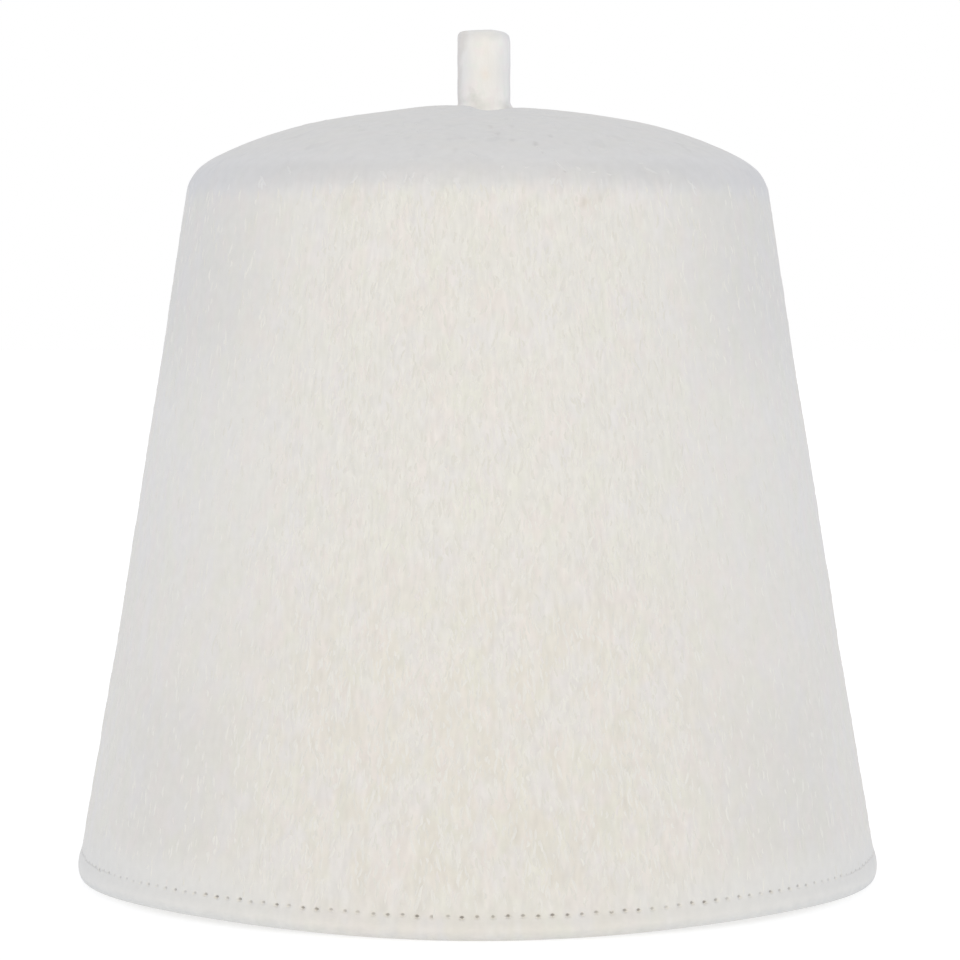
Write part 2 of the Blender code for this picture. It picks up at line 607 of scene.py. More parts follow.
@dataclass(frozen=True)
class FeltSection:
    """The cap's section: the outside from the foot to the crown, the turned-in lap and the inside."""

    felt: float = 2.4 * MM
    foot_radius: float = 94.67 * MM
    foot_elevation: float = -90.0
    crown_elevation: float = 90.0
    crown_step: float = 2.1 * MM
    inside_step: float = 16.0 * MM
    lap_above_groove: float = 4.2 * MM
    lap_fold_radius: float = 1.0 * MM
    lap_edge_radius: float = 0.6 * MM
    lap_step: float = 1.3 * MM
    hem: tuple[Band, ...] = (
        Band("fold", 2.9 * MM, -15.0, 0.5 * MM),
        Band("roll", 4.2 * MM, 22.0, 0.5 * MM),
        Band("stitched groove", 1.9 * MM, 9.9, 0.32 * MM),
    )
    body: tuple[Band, ...] = (
        Band("wall", 160.1 * MM, 8.65, 2.4 * MM),
        Band("shoulder", 7.5 * MM, 51.6, 0.8 * MM),
        Band("upper shoulder", 5.1 * MM, 64.3, 0.9 * MM),
        Band("crown slope", 27.5 * MM, 79.7, 1.8 * MM),
    )

    def chain(self, start: SectionPoint, bands: Sequence[Band]) -> list[SectionPoint]:
        """The points of a chain of bands.

        Args:
            start: where the first band begins.
            bands: the bands in order.

        Returns:
            The points, the start included.
        """
        points = [start]
        for band in bands:
            turn = math.radians(band.elevation - points[-1].elevation)
            points += points[-1].arc(band.length / turn, band.elevation, band.length, band.step)
        return points

    def domed(self, start: SectionPoint, bands: Sequence[Band], step: float) -> list[SectionPoint]:
        """The points of the bands above the hem and of the low dome over them.

        Args:
            start: where the wall starts.
            bands: the bands from the wall up.
            step: the longest stretch between two points of the dome.

        Returns:
            The points, the start included, up to the crown's middle.
        """
        body = self.chain(start, bands)
        edge = body[-1]
        dome = edge.radius / math.cos(math.radians(edge.elevation))
        reach = dome * math.radians(self.crown_elevation - edge.elevation)
        return body + edge.arc(dome, self.crown_elevation, reach, step)

    def outside(self) -> tuple[list[SectionPoint], list[SectionPoint]]:
        """The outside of the cap.

        Returns:
            The points of the hem below the wall, and those from the wall's start to the crown's middle.
        """
        hem = self.chain(SectionPoint(self.foot_radius, 0.0, self.foot_elevation), self.hem)
        return hem[:-1], self.domed(hem[-1], self.body, self.crown_step)

    def inside(self, start: SectionPoint) -> list[SectionPoint]:
        """The inside of the felt from the wall's start to the crown's middle, in long steps.

        Args:
            start: where the wall starts outside.

        Returns:
            The points in order.
        """
        wall, *rest = self.body
        coarse = [Band(wall.name, wall.length, wall.elevation, self.inside_step)]
        coarse += [Band(b.name, b.length, b.elevation, max(b.step, self.inside_step / 3)) for b in rest]
        body = self.domed(start, coarse, self.inside_step / 2)
        return [point.offset(-self.felt) for point in body[1:]]

    def lap(self, groove: SectionPoint) -> list[SectionPoint]:
        """The turned-in lap, from the foot's inner edge up to where its raw edge meets the wall.

        Args:
            groove: where the wall starts, above the stitched groove.

        Returns:
            The points in order.
        """
        low = groove.offset(-2 * self.felt)
        inward = groove.elevation - 180.0
        reach = SectionPoint(0.0, 0.0, inward).offset(self.lap_fold_radius)
        slope = math.cos(math.radians(groove.elevation))
        drop = (low.height - self.lap_fold_radius - reach.height) / slope
        foot = SectionPoint(low.along(-drop).radius - reach.radius, 0.0, self.foot_elevation)
        quarter = self.lap_fold_radius * math.pi / 2
        fold = foot.arc(self.lap_fold_radius, inward, quarter, self.lap_step / 2)
        top = self.lap_above_groove - self.lap_edge_radius
        rows = math.ceil((drop + top) / self.lap_step)
        face = [low.along(share) for share in np.linspace(-drop, top, rows + 1)[1:]]
        edge_start = SectionPoint(face[-1].radius, face[-1].height, inward)
        edge_length = self.lap_edge_radius * math.pi / 2
        edge = edge_start.arc(self.lap_edge_radius, inward - 90.0, edge_length, self.lap_step / 3)
        meeting = groove.along(self.lap_above_groove).offset(-self.felt)
        return [foot, *fold, *face, *edge, meeting]

    def closed(self) -> list[SectionPoint]:
        """The whole closed section, from the crown's middle down the outside and back up the inside."""
        hem, body = self.outside()
        return [*reversed(hem + body), *self.lap(body[0]), *self.inside(body[0])]

    def height_at(self, radius: float) -> float:
        """The height of the crown's outside at a radius.

        Args:
            radius: the distance from the axis.

        Returns:
            The height.
        """
        _, body = self.outside()
        upper = [point for point in body if point.elevation > self.body[0].elevation]
        radii = [point.radius for point in reversed(upper)]
        return float(np.interp(radius, radii, [point.height for point in reversed(upper)]))


def turned(name: str, outline: Sequence[SectionPoint], columns: int) -> bpy.types.Object:
    """Draws an outline as a chain of vertices and spins it round the upright axis.

    Args:
        name: the new object's name.
        outline: the section, whose ends lie on the axis.
        columns: how many faces go round.

    Returns:
        The closed piece, smooth, with its faces pointing out.
    """
    deselect_all()
    bpy.ops.mesh.primitive_plane_add(size=MM, calc_uvs=False)
    piece = bpy.context.object
    piece.name = name
    piece.data.name = name
    bpy.ops.object.mode_set(mode="EDIT")
    bpy.ops.mesh.select_mode(type="VERT")
    bpy.ops.mesh.merge(type="CENTER")
    bpy.ops.transform.translate(value=(outline[0].radius, 0.0, outline[0].height))
    for last, point in zip(outline, outline[1:]):
        step = (point.radius - last.radius, 0.0, point.height - last.height)
        bpy.ops.mesh.extrude_region_move(TRANSFORM_OT_translate={"value": step})
    bpy.ops.mesh.select_all(action="SELECT")
    bpy.ops.mesh.spin(steps=columns, angle=math.tau, center=(0.0, 0.0, 0.0), axis=(0.0, 0.0, 1.0))
    bpy.ops.mesh.select_all(action="SELECT")
    bpy.ops.mesh.remove_doubles(threshold=MERGE_DISTANCE)
    bpy.ops.mesh.normals_make_consistent(inside=False)
    bpy.ops.object.mode_set(mode="OBJECT")
    bpy.ops.object.shade_smooth()
    return piece


class Finish:
    """A Principled material written with a Graph."""

    def __init__(self, name: str, roughness: float) -> None:
        """Makes the material and its shader.

        Args:
            name: the material's name.
            roughness: the shader's roughness, the same all over.
        """
        self.material = bpy.data.materials.new(name)
        self.material.use_nodes = True
        self.graph = Graph(self.material.node_tree)
        self.shader = self.material.node_tree.nodes["Principled BSDF"]
        self.shader.inputs["Roughness"].default_value = roughness
        self.shader.inputs["Specular IOR Level"].default_value = SOFT_GLOSS

    def place(self) -> Wire:
        """The place on the surface, in the frame."""
        return self.graph.take(self.graph.node("ShaderNodeTexCoord"), "Object")

    def colour(self, colour: Value) -> None:
        """Feeds the shader's base colour."""
        self.graph.feed(self.shader.inputs["Base Color"], opaque(colour))

    def relief(self, height: Wire, depth: float) -> None:
        """Feeds the shader a bump.

        Args:
            height: the relief, from 0 to 1.
            depth: how deep the relief is, in metres.
        """
        bump = self.graph.node("ShaderNodeBump", {"Height": height, "Distance": depth, "Strength": 1.0})
        self.graph.feed(self.shader.inputs["Normal"], self.graph.take(bump))

    def put_on(self, piece: bpy.types.Object) -> None:
        """Gives a piece this finish alone."""
        piece.data.materials.clear()
        piece.data.materials.append(self.material)


@dataclass(frozen=True)
class Tint:
    """A faint colour in soft blotches; its seed sets where they fall."""

    colour: Colour
    grain: float
    seed: float

    def laid_on(self, colour: Wire, place: Wire, full: float, strength: Value) -> Wire:
        """Lays the tint's blotches over a colour.

        Args:
            colour: the colour so far.
            place: the place that the blotches follow.
            full: the noise at which a blotch shows in full.
            strength: how much of the tint then shows.

        Returns:
            The tinted colour.
        """
        graph = place.graph
        shifted = graph.vector("ADD", place, (self.seed, self.seed, self.seed))
        blotch = graph.remap(graph.noise(shifted, self.grain), 0.46, full)
        return graph.mix(blotch * strength, colour, self.colour)


@dataclass(frozen=True)
class Mark:
    """A small spot on the felt, by its bearing, its radius and its height."""

    bearing: float
    radius: float
    height: float
    reach: float
    strength: float

    def place(self) -> tuple[float, float, float]:
        """The spot's middle in the frame."""
        turn = math.radians(self.bearing)
        return self.radius * math.sin(turn), -self.radius * math.cos(turn), self.height


@dataclass(frozen=True)
class WoolFelt:
    """Cream wool felt: brushed lengthwise flecks on the wall, a smooth crown, and faint tints."""

    base: Colour = (0.780, 0.765, 0.718)
    # painted shade: the crown's greyer copy of the felt, on the top that faces away from the front light
    crown_shade_grey: Colour = (0.752, 0.745, 0.727)
    tints: tuple[Tint, ...] = (
        Tint((0.768, 0.763, 0.680), 6.5 * MM, 0.11),
        Tint((0.804, 0.750, 0.712), 5.0 * MM, 0.37),
        Tint((0.777, 0.758, 0.744), 6.0 * MM, 0.73),
    )
    aged: Colour = (0.984, 0.960, 0.927)
    # a little darker low in front
    low_front_darkening: Colour = (0.985, 0.982, 0.980)
    hem: Colour = (0.768, 0.756, 0.719)
    # painted shade, a cool grey, for a band round the shoulder
    cool_band_shade: Colour = (0.750, 0.748, 0.750)
    # painted shade for the foot, where the fold turns under towards the floor
    foot_shade: Colour = (0.875, 0.890, 0.915)
    worn: Colour = (0.93, 0.93, 0.93)
    # painted shade for the shoulder's edge and the wall's sides
    shoulder_and_side_shade: Colour = (0.70, 0.70, 0.70)
    stain: Colour = (0.54, 0.47, 0.33)
    thread_shadow: Colour = (0.22, 0.20, 0.18)
    fleck_width: float = 1.25 * MM
    fleck_length: float = 3.5
    fleck_wander: float = 1.2 * MM
    fleck_strength: float = 0.19
    cloud_strength: float = 0.018
    relief_depth: float = 0.10 * MM
    calm_sides: Span = (0.35, 0.75)
    side_calm: float = 0.20
    mean_radius: float = 85.0 * MM
    prick_squash: Span = (1.5, 0.65, 0.65)
    prick_ragged: float = 2.2 * MM
    wall_end: Span = mm(164.0, 173.0)
    aged_heights: Span = mm(95.0, 60.0)
    low_front_darkening_heights: Span = mm(50.0, 25.0)
    crown_heights: Span = mm(160.8, 168.3)
    # heights of the painted shade at the shoulder and on the wall's sides
    cool_band_shade_heights: Span = mm(162.5, 167.5, 172.0, 175.5)
    shoulder_edge_shade_heights: Span = mm(163.5, 168.0, 170.0, 173.0)
    upper_side_shade_heights: Span = mm(110.0, 140.0)
    lower_side_shade_heights: Span = mm(7.0, 17.0, 40.0, 60.0)
    pale_heights: Span = mm(16.0, 6.0)
    foot_shade_heights: Span = mm(3.0, 0.5)
    foot_shade_ragged: float = 0.8 * MM
    crease_reach: Span = mm(0.30, 0.05)
    hole_reach: Span = mm(0.62, 0.20)
    hole_above: float = 0.22 * MM
    hole_flatness: float = 2.2
    hole_ragged: float = 0.30 * MM

    def wall_place(self, at: Bearings) -> Wire:
        """The place on the wall unrolled round the axis, pressed together along the brushing.

        Args:
            at: the place round the axis.

        Returns:
            A vector for noise that streaks up and down the wall, without a seam.
        """
        graph = at.graph
        across = at.sine * self.mean_radius
        ahead = at.cosine * self.mean_radius
        streaked = graph.combine(across, ahead, at.z / self.fleck_length)
        loose = graph.combine(across, ahead, at.z / 2.0)
        wander = graph.scaled(graph.noise_vector(loose, 5.0 * MM), self.fleck_wander)
        return graph.vector("ADD", streaked, wander)

    def dress(self, piece: bpy.types.Object, line: StitchLine, stains: Sequence[Mark],
              pricks: Sequence[Mark]) -> None:
        """Gives a piece the felt.

        Args:
            piece: the cap.
            line: its row of needle holes.
            stains: faint brown spots.
            pricks: small needle pricks.
        """
        finish = Finish("brushed_wool_felt", 0.95)
        graph = finish.graph
        at = graph.bearings(finish.place())
        mottle = graph.noise(at.place, 2.4 * MM, 3.0)
        calm = graph.remap(at.away, *self.calm_sides, 1.0, self.side_calm)
        wallness = graph.remap(at.z, *self.wall_end, 1.0, 0.0)
        colour = self.ground(at)
        blotchy = wallness * (calm * 0.27 + 0.28) + 0.10
        for tint in self.tints:
            colour = tint.laid_on(colour, graph.combine(at.x, at.y, at.z / 1.6), 0.66, blotchy)
        colour = self.marked(at, mottle, colour, stains, pricks)
        # painted shade round the shoulder and on the wall's sides
        colour = self.paint_shoulder_and_side_shade(at, colour, wallness)
        colour = self.hem_parts(at, line, mottle, colour)
        fleck = graph.noise(self.wall_place(at), self.fleck_width, 1.0)
        below = graph.remap(at.z, *mm(4.5, 7.0), 0.45, 1.0)
        cloud = graph.remap(mottle, 0.3, 0.7, -1.0, 1.0, smooth=False)
        streaks = (fleck - 0.5) * wallness * below * calm * self.fleck_strength
        finish.colour(graph.shaded(colour, streaks + cloud * self.cloud_strength + 1.0))
        grain = graph.noise(at.place, 0.35 * MM)
        relief = fleck * wallness * calm * 0.8 + grain * 0.2 + mottle * 0.2
        finish.relief(relief, self.relief_depth)
        finish.put_on(piece)

    def ground(self, at: Bearings) -> Wire:
        """The wool's colour: cream on the wall, a little yellower low in front and a little darker lower
        still, and greyer on the crown, where the grey is painted shade of the top that faces away from the
        front light.

        Args:
            at: the place on the felt.

        Returns:
            The colour.
        """
        graph = at.graph
        low = graph.span(at.z, self.aged_heights) * graph.remap(at.away, 0.30, 0.75, 1.0, 0.35)
        colour = graph.mix(low, self.base, multiplied(self.base, self.aged))
        # a little darker low in front
        lowest = graph.span(at.z, self.low_front_darkening_heights) * graph.remap(at.away, 0.20, 0.50, 1.0, 0.0)
        colour = graph.mix(lowest, colour, self.low_front_darkening, "MULTIPLY")
        # painted shade: the felt turns grey from the shoulder up
        on_crown = graph.span(at.z, self.crown_heights)
        colour = graph.mix(on_crown, colour, self.crown_shade_grey)
        patches = graph.remap(graph.noise(at.place, 5.0 * MM, 3.0), 0.56, 0.70) * on_crown
        return graph.mix(patches * 0.6, colour, multiplied(self.crown_shade_grey, self.worn))

    def marked(self, at: Bearings, mottle: Wire, colour: Wire, stains: Sequence[Mark],
               pricks: Sequence[Mark]) -> Wire:
        """Lays the stains and needle pricks over a colour.

        Args:
            at: the place on the felt.
            mottle: noise that frays the stains.
            colour: the colour so far.
            stains: faint brown spots.
            pricks: small needle pricks.

        Returns:
            The marked colour.
        """
        graph = at.graph
        for mark in stains:
            share = graph.spot(at.place, mark.place(), mark.reach, (mottle - 0.5) * mark.reach)
            colour = graph.mix(share * mark.strength, colour, self.stain)
        ragged = graph.wobble(at.place, 1.1 * MM, self.prick_ragged)
        for mark in pricks:
            share = graph.spot(at.place, mark.place(), mark.reach, ragged, self.prick_squash)
            colour = graph.mix(share * mark.strength, colour, self.thread_shadow)
        return colour

    def paint_shoulder_and_side_shade(self, at: Bearings, colour: Wire, wallness: Wire) -> Wire:
        """Paints shade round the shoulder and on the wall's sides, where the felt turns away from the front
        light.

        Args:
            at: the place round the axis.
            colour: the colour so far.
            wallness: 1 on the wall, falling to 0 on the crown.

        Returns:
            The greyed colour.
        """
        graph = at.graph
        # a cool grey painted shade in a band round the shoulder
        colour = graph.mix(graph.span(at.z, self.cool_band_shade_heights) * 0.35, colour, self.cool_band_shade)
        # painted shade along the shoulder's edge
        edge = graph.span(at.z, self.shoulder_edge_shade_heights) * graph.remap(at.away, 0.15, 0.50, 0.15, 0.22)
        edge = edge * graph.remap(at.away, 0.60, 0.85, 1.0, 0.45)
        # painted shade on the wall's sides, high up and low down
        upper = graph.remap(at.z, *self.upper_side_shade_heights, 0.0, wallness) * graph.span(at.away, (0.50, 0.85))
        lower = graph.span(at.z, self.lower_side_shade_heights) * graph.span(at.away, (0.48, 0.68, 0.82, 0.96))
        return graph.mix(edge + upper * 0.17 + lower * 0.12, colour, multiplied(self.crown_shade_grey, self.shoulder_and_side_shade))

    def hem_parts(self, at: Bearings, line: StitchLine, mottle: Wire, colour: Wire) -> Wire:
        """Lays the hem's paler felt, painted shade along its foot where the fold turns under, painted shadow
        in its needle holes and painted shade along the crease at its sides.

        Args:
            at: the place round the axis.
            line: the row of holes.
            mottle: noise that frays the edge of the painted shade at the foot.
            colour: the colour so far.

        Returns:
            The colour with the hem's own shades.
        """
        graph = at.graph
        above_foot = at.z - line.lift(at.sine_squared, at.cosine_squared)
        pale = graph.span(above_foot, self.pale_heights) * graph.remap(at.away, 0.25, 0.65, 0.40, 1.0)
        colour = graph.mix(pale, colour, self.hem)
        # painted shade along the foot, where the fold turns under
        foot = graph.span(above_foot + (mottle - 0.5) * self.foot_shade_ragged, self.foot_shade_heights)
        colour = graph.mix(foot, colour, self.foot_shade, "MULTIPLY")
        _, up, _ = needle_offsets(at, line)
        crease = graph.span(abs(up), self.crease_reach) * graph.span(at.away, (0.86, 0.92)) * 0.16
        colour = graph.mix(crease, colour, self.thread_shadow)
        return graph.mix(self.hole_shade(at, line), colour, self.thread_shadow)

    def hole_shade(self, at: Bearings, line: StitchLine) -> Wire:
        """How dark the felt is at the needle holes.

        Args:
            at: the place round the axis.
            line: the row of holes.

        Returns:
            A share from 0 to about 0.8.
        """
        graph = at.graph
        across, up, number = needle_offsets(at, line)
        ragged = graph.wobble(at.place, 0.5 * MM, self.hole_ragged, 1.0)
        above = up - self.hole_above
        far = graph.math("SQRT", across * across + above * above * self.hole_flatness) + ragged
        depth = graph.chance(number, Draw.HOLE_DEPTH) * 0.50 + 0.30
        near_hem = graph.span(at.z, mm(12.0, 10.0))
        return graph.span(far, self.hole_reach) * depth * near_hem * line.openness(at)


def needle_offsets(at: Bearings, line: StitchLine) -> tuple[Wire, Wire, Wire]:
    """How a place lies to the needle hole nearest to it.

    Args:
        at: the place round the axis.
        line: the row of holes.

    Returns:
        Its offset round the hem and its offset upwards, in metres, and the hole's number.
    """
    graph = at.graph
    share = graph.math("ARCTAN2", at.sine, at.cosine) * (line.count / math.tau)
    nearest = graph.math("ROUND", share)
    number = graph.math("FLOORED_MODULO", nearest, float(line.count))
    slip, climb = line.slips(graph, number)
    across = (share - nearest) * at.radius * (math.tau / line.count) - slip
    return across, at.z - line.height(at.sine_squared, at.cosine_squared) - climb, number


@dataclass(frozen=True)
class Dent:
    """A soft rise or, with a negative height, dip of the crown, drawn out from front to back."""

    x: float
    y: float
    reach: float
    stretch: float
    height: float


@dataclass(frozen=True)
class CrownDip:
    """How the crown gives round the stalk: it stands up a little on one side and dips in front."""

    dents: tuple[Dent, ...] = (
        Dent(-9.0 * MM, -6.0 * MM, 14.0 * MM, 1.0, 0.42 * MM),
        Dent(7.0 * MM, -12.0 * MM, 4.5 * MM, 3.0, -0.45 * MM),
        Dent(2.5 * MM, -10.0 * MM, 5.6 * MM, 4.0, -1.45 * MM),
    )

    def height(self, graph: Graph, x: Wire, y: Wire) -> Wire:
        """How far the crown is raised or lowered at a place.

        Args:
            graph: the tree's writer.
            x: the place's X.
            y: its Y.

        Returns:
            The change of height.
        """
        place = graph.combine(x, y, 0.0)
        height = None
        for dent in self.dents:
            squash = (1.0, 1.0 / dent.stretch, 1.0)
            change = graph.spot(place, (dent.x, dent.y, 0.0), dent.reach, squash=squash) * dent.height
            height = change if height is None else height + change
        return height


@dataclass
class FeltCap:
    """The blocked felt cap with its turned-in, stitched hem."""

    section: FeltSection = field(default_factory=FeltSection)
    line: StitchLine = field(default_factory=StitchLine)
    felt: WoolFelt = field(default_factory=WoolFelt)
    columns_a_stitch: int = 2
    hole_cuts: int = 3
    groove_height: float = 6.66 * MM
    groove_reach: float = 6.6 * MM
    groove_cut: Span = mm(5.5, 7.8)
    level_within: float = 0.01 * MM
    hole_depth: float = 0.55 * MM
    hole_above: float = 0.15 * MM
    hole_reach: Span = mm(0.80, 0.1)
    lean: float = -0.15 * MM
    lean_heights: Span = mm(60.0, 150.0)
    rise_heights: Span = mm(14.0, 75.0)
    sag_heights: Span = mm(170.0, 178.0)
    clear_of_holes: float = 5.0 * MM
    clear_of_foot: float = 6.0 * MM
    lumps: tuple[Span, ...] = (mm(38.0, 0.55), mm(11.0, 0.30), mm(3.5, 0.14))
    lump_details: Span = (1.0, 2.0, 2.0)
    dip: CrownDip = field(default_factory=CrownDip)
    stains: tuple[Mark, ...] = (
        Mark(19.6, 70.9 * MM, 162.1 * MM, 2.2 * MM, 0.26),
        Mark(21.9, 70.6 * MM, 163.7 * MM, 4.6 * MM, 0.13),
        Mark(-24.1, 70.5 * MM, 163.8 * MM, 4.5 * MM, 0.10),
    )
    prick_places: tuple[tuple[float, float, float], ...] = (
        (3.3, 49.2, 0.12), (4.6, 54.6, 0.14), (8.9, 49.1, 0.09), (7.6, 58.1, 0.10), (12.4, 59.8, 0.14),
        (17.1, 55.3, 0.13), (-4.8, 63.7, 0.05), (8.9, 41.9, 0.06),
    )
    prick_reach: float = 1.4 * MM
    prick_depth: float = 0.15 * MM

    def pricks(self) -> list[Mark]:
        """The needle pricks on the crown, seated on its section.

        Returns:
            One mark for each.
        """
        return [
            Mark(bearing, radius * MM, self.section.height_at(radius * MM), self.prick_reach, strength)
            for bearing, radius, strength in self.prick_places
        ]

    def build(self) -> bpy.types.Object:
        """Models the cap and dresses it.

        Returns:
            The finished piece.
        """
        cap = turned("felt_cap_surface", self.section.closed(), self.line.count * self.columns_a_stitch)
        self.refine_hem(cap)
        self.shape(cap)
        self.felt.dress(cap, self.line, self.stains, self.pricks())
        lay_map(cap, self.section)
        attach(cap, "root")
        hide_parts("felt_cap")
        return cap

    def refine_hem(self, cap: bpy.types.Object) -> None:
        """Cuts the faces along the stitched groove finer round the hem.

        Args:
            cap: the turned cap.
        """
        places = vertex_places(cap)
        radius = np.hypot(places[:, 0], places[:, 1])
        height = places[:, 2]
        lap = self.section.lap(self.section.outside()[1][0])
        between = (lap[-1].radius + self.section.foot_radius) / 2
        low_cut, high_cut = self.groove_cut
        outer = (radius > between) & (height > low_cut) & (height < high_cut)
        ends = np.empty(len(cap.data.edges) * 2, np.int32)
        cap.data.edges.foreach_get("vertices", ends)
        low, high = ends.reshape(-1, 2).T
        level = np.abs(height[low] - height[high]) < self.level_within
        select_edges(cap, level & outer[low] & outer[high])
        only(cap)
        bpy.ops.object.mode_set(mode="EDIT")
        bpy.ops.mesh.select_mode(type="EDGE")
        bpy.ops.mesh.subdivide(number_cuts=self.hole_cuts, quadcorner="STRAIGHT_CUT")
        bpy.ops.object.mode_set(mode="OBJECT")
        self.round_off(cap)

    def round_off(self, cap: bpy.types.Object) -> None:
        """Moves the vertices that a straight cut left inside the round hem out to it.

        Args:
            cap: the cap with its groove cut finer.
        """
        places = vertex_places(cap)
        turn = np.arctan2(places[:, 1], places[:, 0])
        step = math.tau / (self.line.count * self.columns_a_stitch)
        off = turn - np.round(turn / step) * step
        half = np.abs(off)
        chord = np.cos(step / 2) / np.cos(step / 2 - half)
        cut = half > 0.01 * step
        places[cut, :2] /= chord[cut, None]
        cap.data.vertices.foreach_set("co", places.ravel())
        cap.data.update()

    def shape(self, cap: bpy.types.Object) -> None:
        """Moves the turned surface to the real one: the hem's rise, the groove, the holes and the felt.

        Args:
            cap: the turned cap.
        """
        graph, geometry = Graph.for_geometry("felt_shape")
        at = graph.bearings(graph.given("Position"))
        fade = graph.remap(at.z, *self.rise_heights, 1.0, 0.0)
        near_groove = graph.remap(abs(at.z - self.groove_height), self.groove_reach, 0.0)
        rise = self.line.lift(at.sine_squared, at.cosine_squared)
        shift = self.line.height(at.sine_squared, at.cosine_squared) - rise - self.groove_height
        lean = graph.span(at.z, self.lean_heights) * self.lean
        sag = self.dip.height(graph, at.x, at.y) * graph.span(at.z, self.sag_heights)
        up = rise * fade + shift * near_groove
        moved = graph.vector("ADD", at.place, graph.combine(lean, 0.0, up + sag))
        depth = self.unevenness(at) - self.holes(graph.bearings(moved))
        for mark in self.pricks():
            depth = depth - graph.spot(at.place, mark.place(), mark.reach) * self.prick_depth
        moved = graph.vector("ADD", moved, graph.scaled(graph.given("Normal"), depth))
        apply_nodes(cap, graph, graph.moved(geometry, moved))

    def unevenness(self, at: Bearings) -> Wire:
        """How far the soft felt stands off its even shape, away from the holes and the foot.

        Args:
            at: the place on the turned surface.

        Returns:
            The distance along the normal.
        """
        graph = at.graph
        clear_of_holes = graph.remap(abs(at.z - self.groove_height), 0.0, self.clear_of_holes)
        uneven = None
        for (grain, size), detail in zip(self.lumps, self.lump_details):
            lump = graph.wobble(at.place, grain, size, detail)
            uneven = lump if uneven is None else uneven + lump
        return uneven * clear_of_holes * graph.remap(at.z, 0.0, self.clear_of_foot)

    def holes(self, at: Bearings) -> Wire:
        """How deep the needle holes are at a place, once the hem has its rise and fall.

        Args:
            at: the place on the risen hem.

        Returns:
            The depth.
        """
        graph = at.graph
        across, up, number = needle_offsets(at, self.line)
        above = up - self.hole_above
        far = graph.math("SQRT", across * across + above * above)
        deep = (graph.chance(number, Draw.HOLE_DEPTH) * 0.5 + 0.6) * self.line.openness(at)
        return graph.span(far, self.hole_reach) * deep * self.hole_depth


def lay_map(cap: bpy.types.Object, section: FeltSection) -> None:
    """Gives the cap a map that unrolls the whole felt, round the cap and along its section.

    Args:
        cap: the shaped cap.
        section: its section, which gives the length along the felt.
    """
    outline = section.closed()
    radii = np.array([point.radius for point in outline])
    heights = np.array([point.height for point in outline])
    lengths = np.concatenate([[0.0], np.cumsum(np.hypot(np.diff(radii), np.diff(heights)))])
    mesh = cap.data
    places = vertex_places(cap)
    corner_vertex = np.empty(len(mesh.loops), np.int32)
    mesh.loops.foreach_get("vertex_index", corner_vertex)
    sides = np.empty(len(mesh.polygons), np.int32)
    mesh.polygons.foreach_get("loop_total", sides)
    face_of_corner = np.repeat(np.arange(len(sides)), sides)
    radius = np.hypot(places[:, 0], places[:, 1])
    nearest = np.empty(len(places), np.int64)
    for start in range(0, len(places), MAP_BATCH):
        part = slice(start, start + MAP_BATCH)
        gaps = (radius[part, None] - radii) ** 2 + (places[part, 2][:, None] - heights) ** 2
        nearest[part] = gaps.argmin(1)
    along = lengths[nearest] / lengths[-1]
    turn = np.arctan2(places[:, 0], -places[:, 1])
    corner_turn = turn[corner_vertex]
    first = corner_turn[np.concatenate([[0], np.cumsum(sides)[:-1]])][face_of_corner]
    corner_turn = first + (corner_turn - first + math.pi) % math.tau - math.pi
    corners = np.stack([corner_turn / math.tau + 0.5, along[corner_vertex]], 1)
    layer = mesh.uv_layers.new(name=BAKE_MAP)
    layer.uv.foreach_set("vector", corners.astype(np.float32).ravel())


@dataclass(frozen=True)
class Smudge:
    """A soft upright spot on the stalk's front, placed from its middle and its top."""

    across: float
    below: float
    reach: float
    narrow: float
    ragged: float
    strength: float
    colour: Colour


